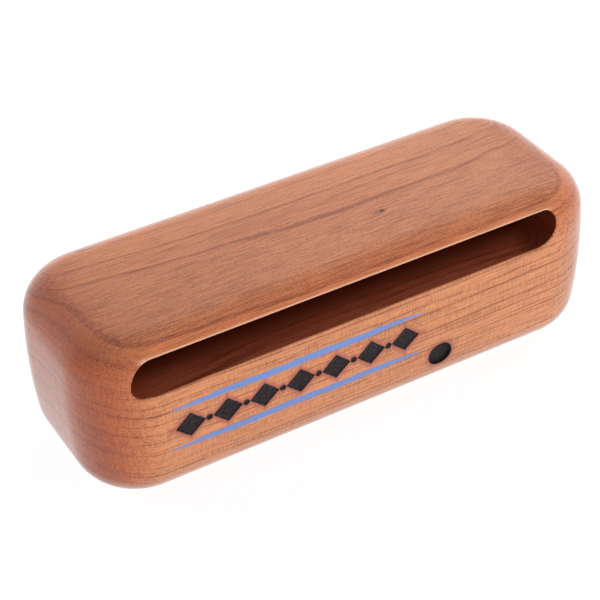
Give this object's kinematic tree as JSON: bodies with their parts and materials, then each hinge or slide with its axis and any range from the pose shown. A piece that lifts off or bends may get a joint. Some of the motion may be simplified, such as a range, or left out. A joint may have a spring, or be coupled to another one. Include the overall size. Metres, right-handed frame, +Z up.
{
  "type": "woodblock",
  "caption": "Hand-struck wooden block with pillowed sides, a long blind tone slot under its top edge and a burned dot on its front.",
  "frame": {"origin": "middle of the flat bottom face", "axes": "+X along the length, left to right as seen from the slotted front; +Y from the slotted front to the back; +Z up, towards the struck top face"},
  "size_m": [0.1904, 0.07, 0.06],
  "materials": {
    "cherry_wood": "satin clear lacquer over fine straight-grained cherry",
    "scorched_wood": "matt char, burned in with a hot iron",
    "blue_paint": "thin matt brushed paint film"
  },
  "bodies": {
    "root": {"block": "cherry_wood"}
  },
  "joints": []
}
